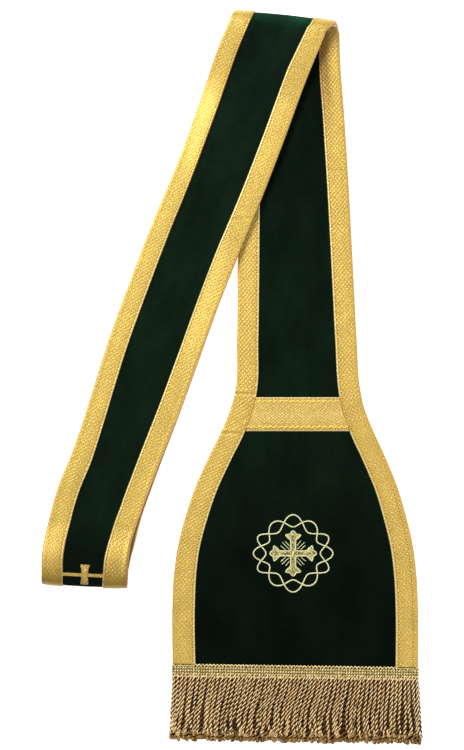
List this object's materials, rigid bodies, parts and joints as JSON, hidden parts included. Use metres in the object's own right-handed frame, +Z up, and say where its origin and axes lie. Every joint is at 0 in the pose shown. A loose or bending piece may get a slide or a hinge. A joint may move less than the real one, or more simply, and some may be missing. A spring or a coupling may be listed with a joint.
{
  "type": "clerical stole",
  "caption": "Green velvet stole with gold braid borders, spade end, embroidered cross in a ring and bullion fringe, folded at the neck and folded over once, lying flat.",
  "frame": {"origin": "on the surface it lies on, at the middle of its outline seen from above", "axes": "+Z up, +Y towards the top fold, -Y towards the fringe, +X to the right of the spade end seen from above"},
  "size_m": [0.3246, 0.6288, 0.0201],
  "materials": {
    "velvet": "deep cut pile velvet, dark green",
    "gold_braid": "woven metallic gold braid",
    "gold_thread": "pale gold embroidery thread",
    "gold_fringe": "twisted gold bullion cords",
    "under_layer": "plain dark cloth edge"
  },
  "bodies": {
    "root": {"slant_velvet": "velvet", "slant_border_left": "gold_braid", "slant_border_right": "gold_braid", "leg_velvet": "velvet", "leg_border_left": "gold_braid", "leg_border_right": "gold_braid", "crossbar": "gold_braid", "neck_cross_upright": "gold_braid", "neck_cross_arm": "gold_braid", "ring": "gold_thread", "cross": "gold_thread", "fringe": "gold_fringe", "hidden_slant": "under_layer", "hidden_leg": "under_layer"}
  },
  "joints": []
}
